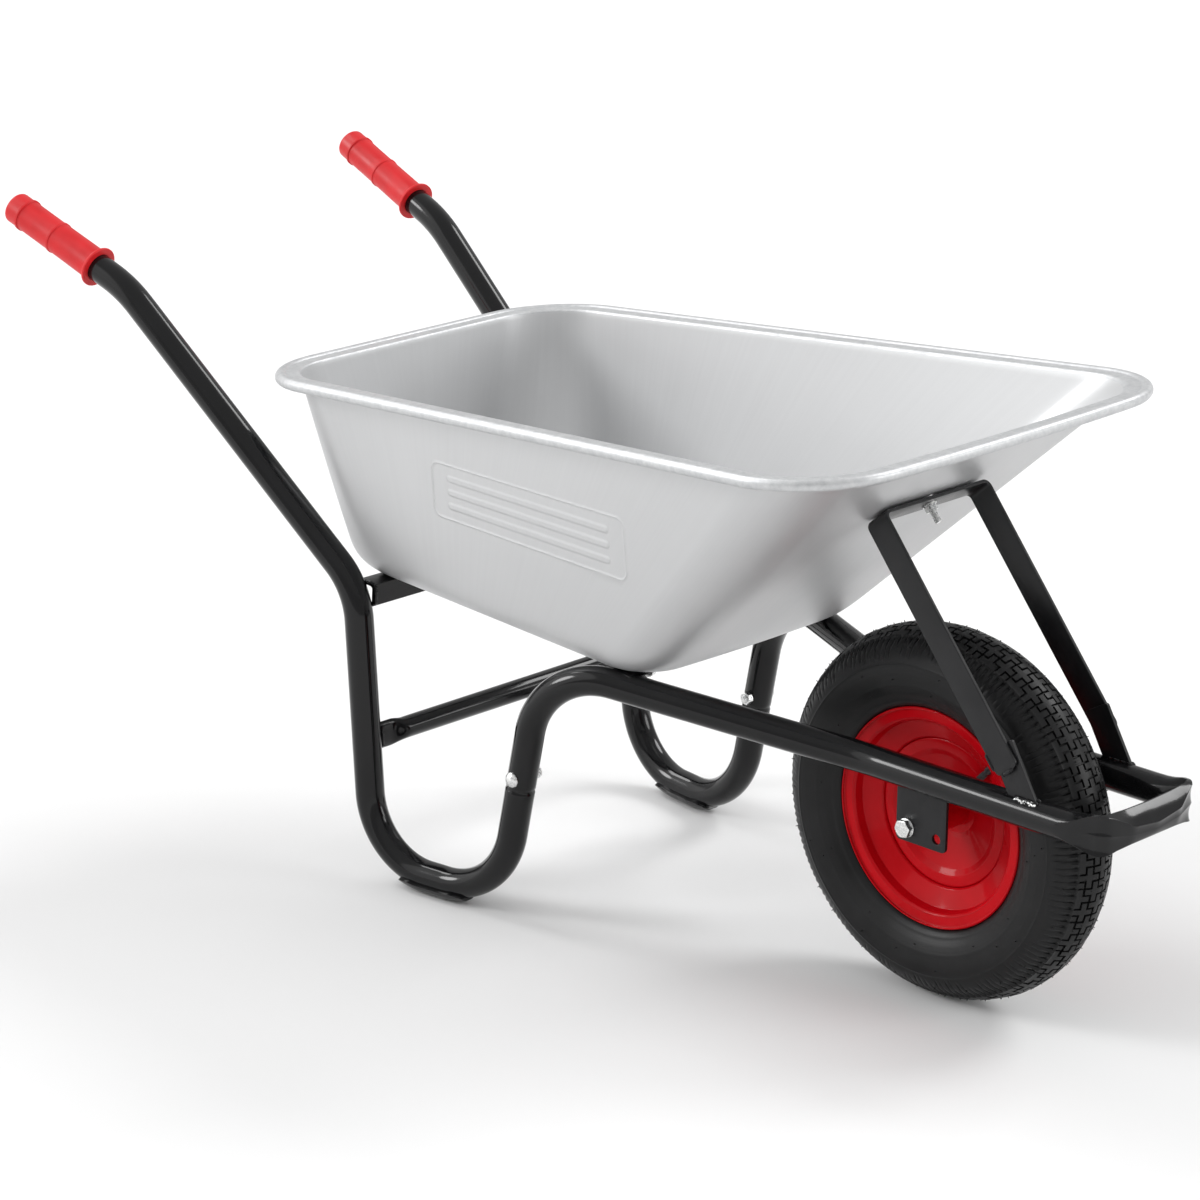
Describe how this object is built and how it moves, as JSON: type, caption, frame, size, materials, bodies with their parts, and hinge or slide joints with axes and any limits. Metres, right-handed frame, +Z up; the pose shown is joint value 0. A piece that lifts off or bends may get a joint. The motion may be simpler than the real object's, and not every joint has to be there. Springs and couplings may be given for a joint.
{
  "type": "wheelbarrow",
  "caption": "Wheelbarrow with a pressed metal tray on a bent tube frame, leg loops, gripped handles and a pneumatic wheel.",
  "frame": {"origin": "on the ground plane, at the middle of the overall length and on the barrow's middle plane", "axes": "+X forwards, from the grips to the wheel; +Y to the left of whoever pushes the barrow; +Z up"},
  "size_m": [1.445, 0.5662, 0.6813],
  "materials": {
    "tray_zinc": "satin",
    "frame_black": "gloss",
    "bracket_dark": "satin",
    "rim_red": "gloss",
    "tyre_black": "matt",
    "rubber_black": "matt",
    "grip_red": "satin",
    "zinc_hardware": "satin",
    "bearing_steel": "polished"
  },
  "bodies": {
    "frame": {"front_frame_tube": "frame_black", "handle_leg_tube_right": "frame_black", "handle_leg_tube_left": "frame_black", "upper_cross_member": "frame_black", "lower_cross_tube": "frame_black", "foot_shoe_right": "frame_black", "foot_shoe_left": "frame_black", "axle_bracket_right": "bracket_dark", "axle_bracket_left": "bracket_dark", "brace_tab_right": "bracket_dark", "brace_tab_left": "bracket_dark", "brace_strap": "bracket_dark", "tray_lug_right": "frame_black", "tray_lug_left": "frame_black", "tray": "tray_zinc", "grip_right": "grip_red", "grip_left": "grip_red", "joint_bolts": "zinc_hardware", "joint_nuts": "zinc_hardware", "tray_bolts": "zinc_hardware", "tray_washers": "zinc_hardware", "tray_nuts": "zinc_hardware", "brace_bolt": "zinc_hardware", "brace_washer": "zinc_hardware", "brace_nut": "zinc_hardware", "axle_bolt": "zinc_hardware", "axle_nut": "zinc_hardware", "axle_washers": "zinc_hardware", "spacer_sleeves": "zinc_hardware", "distance_tube": "zinc_hardware", "bearing_inner_rings": "bearing_steel"},
    "wheel": {"bearing_outer_rings": "bearing_steel", "bearing_balls": "bearing_steel", "hub_tube": "rim_red", "wheel_disc": "rim_red", "rim_barrel": "rim_red", "tyre": "tyre_black", "inner_tube": "rubber_black", "valve_stem": "rubber_black", "valve_cap": "rubber_black"}
  },
  "joints": [
    {"name": "wheel_spin", "type": "hinge", "parent": "frame", "child": "wheel", "pos_m": [0.45895, 0, 0.197], "axis": [0, 1, 0], "continuous": true}
  ]
}
